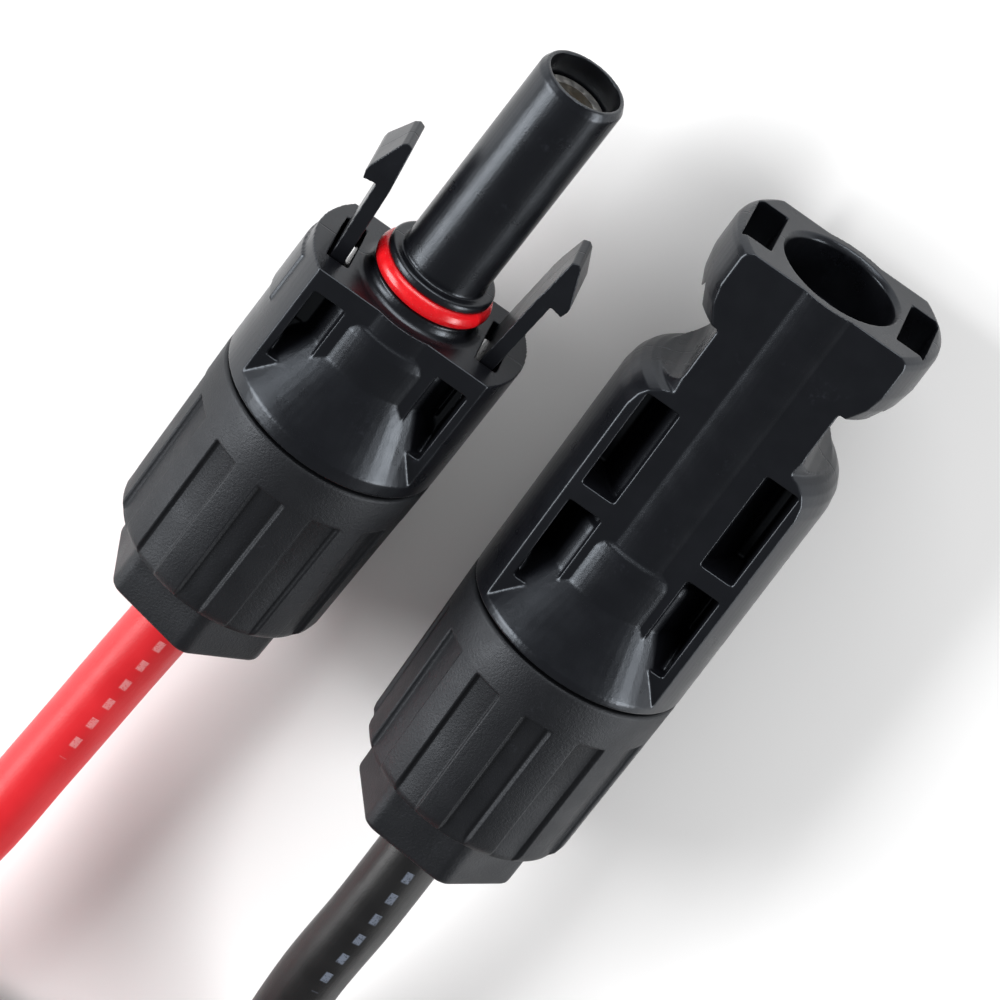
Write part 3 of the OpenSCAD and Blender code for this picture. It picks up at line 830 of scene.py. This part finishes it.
def tie_mesh(half):
    """A strap round the two strands that lie side by side after TIE_TURN, with its head inside the coil."""
    radius = sizes().cable_diameter / 2
    outer, inner = coil_radius_at(TIE_TURN), coil_radius_at(TIE_TURN + math.tau)
    ends = [(inner, math.pi / 2), (outer, -math.pi / 2)]
    loop = []
    for middle, first in ends:
        loop += [(middle, first + math.pi * k / ARC_STEPS) for k in range(ARC_STEPS + 1)]
    shape = bmesh.new()
    rings = []
    for middle, angle in loop:
        ring = []
        for depth in (STRAP_THICKNESS, 0):
            reach = radius - STRAP_THICKNESS + depth
            x, z = middle + (radius + depth) * math.cos(angle), reach * math.sin(angle)
            ring += [shape.verts.new((x, y * STRAP_WIDTH / 2, z)) for y in ((-1, 1) if depth else (1, -1))]
        rings.append(ring)
    for ring, follow in zip(rings, rings[1:] + rings[:1]):
        for k in range(4):
            shape.faces.new((ring[k], ring[(k + 1) % 4], follow[(k + 1) % 4], follow[k]))
    for block in (TIE_HEAD, TIE_TAIL):
        add_block(shape, inner - radius, block)
    bmesh.ops.recalc_face_normals(shape, faces=shape.faces)
    mesh = bpy.data.meshes.new(f"{half}_tie_strap")
    shape.to_mesh(mesh)
    shape.free()
    angle = LEADS[half][1] * (math.pi / 2 + TIE_TURN)
    mesh.transform(Matrix.Translation(coil_centre(half)) @ Matrix.Rotation(angle, 4, "Z"))
    return mesh


# ---------------------------------------------------------------- operators


class CONNECTOR_OT_leads(bpy.types.Operator):
    """Make both leads with their coils"""

    bl_idname = "connector.leads"
    bl_label = "Make Leads"

    def execute(self, context):
        strands = strand_tree()
        radius = sizes().cable_diameter / 2
        for half, finish in (("pin", "black_sheath"), ("socket", "red_sheath")):
            points = lead_points(half)
            mesh = swept_tube(f"{half}_lead_sheath", points, radius)
            piece = add_piece(f"{half}_lead_sheath", mesh, f"{half}_half", finish, finish,
                              f"{half}_lead", f"{half}_lead_coil")
            mesh = apply_group(straight_line(f"{half}_strand_line", BARE_LENGTH), strands, {
                "Strands": sizes().strand_count, "Bundle Radius": BARE_RADIUS,
                "Strand Radius": STRAND_RADIUS, "Twist": STRAND_TWIST,
                "Material": finish_named("strands")})
            ahead = (points[-1] - points[-2]).normalized()
            mesh.transform(aimed(points[-1], ahead))
            mesh.shade_smooth()
            bundle, tie = f"{half}_lead_strands", f"{half}_tie_strap"
            add_piece(bundle, outward(mesh), f"{half}_half", "strands", "strands", f"{half}_lead_bare_end")
            add_piece(tie, tie_mesh(half), f"{half}_half", "tie", "tie_nylon", f"{half}_lead_tie")
        return {"FINISHED"}


class CONNECTOR_OT_housings(bpy.types.Operator):
    """Round the moulded housings and the latch arms"""

    bl_idname = "connector.housings"
    bl_label = "Make Housings"

    def execute(self, context):
        for half in HALVES:
            node = f"{half}_housing"
            mesh = moulded(node, half, sizes().edge_voxel, SHELL_TRIANGLES)
            add_piece(f"{half}_shell", mesh, f"{half}_half", f"housing_{half}", "housing_plastic", node)
        for side in ("outer", "inner"):
            arm, node = f"{side}_latch_arm", f"{side}_latch"
            mesh = moulded(node, "socket", LATCH_VOXEL, LATCH_TRIANGLES)
            add_piece(arm, mesh, arm, "housing_socket", "housing_plastic", node)
        return {"FINISHED"}


class CONNECTOR_OT_nuts(bpy.types.Operator):
    """Make the fluted gland nuts"""

    bl_idname = "connector.nuts"
    bl_label = "Make Gland Nuts"

    def execute(self, context):
        tree = nut_tree()
        threads = thread_tree()
        for half, seam in (("pin", PIN_SEAM), ("socket", SOCKET_SEAM)):
            mesh = apply_group(nut_profile(f"{half}_nut_section"), tree, {
                "Segments": sizes().nut_grooves * SEGMENTS_PER_GROOVE, "Grooves": sizes().nut_grooves,
                "Groove Depth": sizes().groove_depth, "Groove Half Angle": GROOVE_HALF_ANGLE,
                "Groove Start": GROOVE_START, "Hexagon Start": HEXAGON_START,
                "Hexagon Apothem": HEXAGON_APOTHEM, "Hexagon Corner": HEXAGON_CORNER,
                "Turn": math.radians(NUT_TURNS[half]), "Material": finish_named(f"nut_{half}")})
            mesh.transform(HALVES[half] @ Matrix.Translation((0, 0, seam + SEAM_GAP)))
            ridge = apply_group(straight_line(f"{half}_thread_line", THREAD_LENGTH), threads, {
                "Turns": THREAD_LENGTH / THREAD_LEAD, "Radius": THREAD_RADIUS, "Height": THREAD_LENGTH,
                "Ridge": THREAD_RIDGE, "Material": finish_named(f"housing_{half}")})
            ridge.transform(HALVES[half] @ Matrix.Translation((0, 0, seam + THREAD_START)))
            ridge.shade_smooth()
            add_piece(f"{half}_thread", outward(ridge), f"{half}_half", f"housing_{half}", "housing_plastic")
            add_piece(f"{half}_fluted_nut", outward(mesh), f"{half}_nut", f"nut_{half}",
                      "nut_plastic", f"{half}_gland_nut")
        return {"FINISHED"}


class CONNECTOR_OT_inner_parts(bpy.types.Operator):
    """Give the CAD pieces their finishes"""

    bl_idname = "connector.inner_parts"
    bl_label = "Finish Inner Parts"

    def execute(self, context):
        finishes = {
            "pin_contact": "tin_pin", "socket_contact": "tin_socket", "pin_contact_clip": "spring",
            "socket_contact_clip": "spring", "socket_contact_band": "alloy", "sealing_ring": "silicone",
            "pin_cable_seal": "seal", "socket_cable_seal": "seal", "pin_clamp_cage": "cage",
            "socket_clamp_cage": "cage", "pin_cable_conductor": "strands", "socket_cable_conductor": "strands",
            "pin_cable_insulation": "insulation", "socket_cable_insulation": "insulation",
            "pin_cable_sheath": "black_sheath", "socket_cable_sheath": "red_sheath"}
        for node, finish in finishes.items():
            slots = FRAME["nodes"][node].data.materials
            slots.clear()
            slots.append(finish_named(finish))
        return {"FINISHED"}


class CONNECTOR_OT_stage(bpy.types.Operator):
    """Set the floor, the lights and the camera"""

    bl_idname = "connector.stage"
    bl_label = "Set Stage"

    def execute(self, context):
        self.make_floor(context)
        self.make_camera(context)
        self.make_lights(context)
        return {"FINISHED"}

    def make_floor(self, context):
        mesh = bpy.data.meshes.new("floor")
        corners = [(x * FLOOR_REACH, y * FLOOR_REACH, 0) for x, y in ((-1, -1), (1, -1), (1, 1), (-1, 1))]
        mesh.from_pydata(corners, [], [(0, 1, 2, 3)])
        floor = bpy.data.objects.new("floor", mesh)
        context.scene.collection.objects.link(floor)
        mesh.materials.append(finish_named("floor"))

    def make_camera(self, context):
        azimuth, elevation, roll = (math.radians(a) for a in CAMERA_ANGLES)
        towards = Vector((math.cos(azimuth) * math.cos(elevation),
                          math.sin(azimuth) * math.cos(elevation), math.sin(elevation)))
        data = bpy.data.cameras.new("camera")
        data.lens = 234
        data.sensor_width = 36
        data.clip_start = 0.01
        camera = bpy.data.objects.new("camera", data)
        context.scene.collection.objects.link(camera)
        upright = aimed(CAMERA_AIM + towards * CAMERA_DISTANCE, towards)
        camera.matrix_world = upright @ Matrix.Rotation(-roll, 4, "Z")
        context.scene.camera = camera

    def make_lights(self, context):
        softboxes = [
            # name, direction from the aim, distance, width, height, watts
            ("left_softbox", (-0.12, 0.85, 0.5), 0.6, 0.5, 0.3, 6.0),
            ("right_softbox", (0.0, -1.0, 0.35), 0.6, 0.5, 0.14, 3.6),
            ("front_softbox", (1.0, 0.1, 0.3), 0.6, 0.6, 0.2, 3.4),
        ]
        for name, direction, distance, width, height, watts in softboxes:
            data = bpy.data.lights.new(name, "AREA")
            data.shape = "RECTANGLE"
            data.size, data.size_y, data.energy = width, height, watts
            light = bpy.data.objects.new(name, data)
            context.scene.collection.objects.link(light)
            away = Vector(direction).normalized()
            light.matrix_world = aimed(CAMERA_AIM + away * distance, away)
        world = bpy.data.worlds.new("studio")
        world.use_nodes = True
        background = world.node_tree.nodes["Background"].inputs
        background["Color"].default_value = (1, 1, 1, 1)
        background["Strength"].default_value = WORLD_STRENGTH
        context.scene.world = world
        context.scene.view_settings.view_transform = "Standard"


class CONNECTOR_PT_panel(bpy.types.Panel):
    """Lists the connector's operators and settings"""

    bl_idname = "CONNECTOR_PT_panel"
    bl_label = "Cable Connector Pair"
    bl_space_type = "VIEW_3D"
    bl_region_type = "UI"
    bl_category = "Connector"

    def draw(self, context):
        for name in STEPS:
            self.layout.operator(f"connector.{name}")
        for group in (context.scene.connector_sizes, context.scene.connector_colours):
            box = self.layout.box()
            for name in group.__annotations__:
                box.prop(group, name)


STEPS = ("stage", "leads", "housings", "nuts", "inner_parts")
CLASSES = (ConnectorSizes, ConnectorColours, CONNECTOR_OT_stage, CONNECTOR_OT_leads, CONNECTOR_OT_housings,
           CONNECTOR_OT_nuts, CONNECTOR_OT_inner_parts, CONNECTOR_PT_panel)


def register():
    """Registers the classes and the scene's settings."""
    for cls in CLASSES:
        bpy.utils.register_class(cls)
    bpy.types.Scene.connector_sizes = PointerProperty(type=ConnectorSizes)
    bpy.types.Scene.connector_colours = PointerProperty(type=ConnectorColours)


def unregister():
    """Removes the settings and the classes."""
    del bpy.types.Scene.connector_sizes
    del bpy.types.Scene.connector_colours
    for cls in reversed(CLASSES):
        bpy.utils.unregister_class(cls)


def main():
    """Builds everything in order."""
    register()
    for name in STEPS:
        getattr(bpy.ops.connector, name)()


if __name__ == "__main__":
    main()
